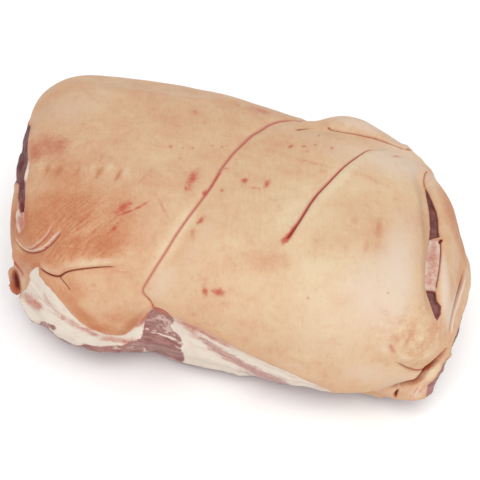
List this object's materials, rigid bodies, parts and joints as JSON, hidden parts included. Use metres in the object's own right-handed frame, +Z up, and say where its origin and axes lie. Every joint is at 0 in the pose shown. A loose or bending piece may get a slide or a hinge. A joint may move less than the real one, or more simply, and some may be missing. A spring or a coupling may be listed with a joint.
{
  "type": "pork picnic shoulder",
  "caption": "Raw pork picnic shoulder, rind on, folded into a long pillow with fat and lean meat showing under the rind's edge.",
  "frame": {"origin": "on the table, under the middle of the joint's outline", "axes": "+X along the joint towards its rolled end, +Z up, -Y towards the side where fat and meat show under the rind"},
  "size_m": [0.3088, 0.2052, 0.1126],
  "materials": {
    "rind": "raw pork rind, waxy and satin, tan to cream with a pink blush; white fat and mauve lean meat below its edge"
  },
  "bodies": {
    "root": {"picnic_shoulder": "rind"}
  },
  "joints": []
}
